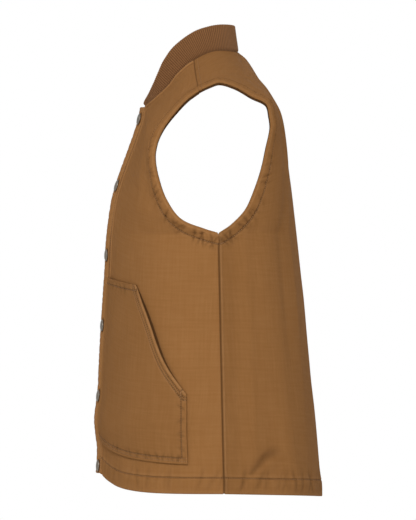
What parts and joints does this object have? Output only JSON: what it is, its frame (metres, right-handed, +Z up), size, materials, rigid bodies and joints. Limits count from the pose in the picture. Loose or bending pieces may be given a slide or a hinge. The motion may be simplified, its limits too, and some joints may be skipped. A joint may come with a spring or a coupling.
{
  "type": "utility work vest",
  "caption": "Sleeveless duck-cloth work vest with a ribbed knit stand collar, slanted hand pockets and a snapped front, filled out as when worn.",
  "frame": {"origin": "mount shoulder_seat: centred between the shoulders, at mid height of the shoulder straps, where the vest sits on its wearer", "axes": "+Z up, -Y towards the snapped front, +X towards the wearer's left side"},
  "size_m": [0.472, 0.3638, 0.755],
  "materials": {
    "duck": "brown cotton duck canvas, matt, tight plain weave",
    "rib_knit": "darker brown rib knit, matt",
    "snap_metal": "dull antiqued nickel, satin"
  },
  "bodies": {
    "root": {"left_front": "duck", "right_front": "duck", "back": "duck", "left_placket": "duck", "right_placket": "duck", "left_pocket": "duck", "right_pocket": "duck", "collar": "rib_knit", "snap_cap_1": "snap_metal", "snap_stud_1": "snap_metal", "snap_cap_2": "snap_metal", "snap_stud_2": "snap_metal", "snap_cap_3": "snap_metal", "snap_stud_3": "snap_metal", "snap_cap_4": "snap_metal", "snap_stud_4": "snap_metal", "snap_cap_5": "snap_metal", "snap_stud_5": "snap_metal", "snap_cap_6": "snap_metal", "snap_stud_6": "snap_metal"}
  },
  "joints": []
}
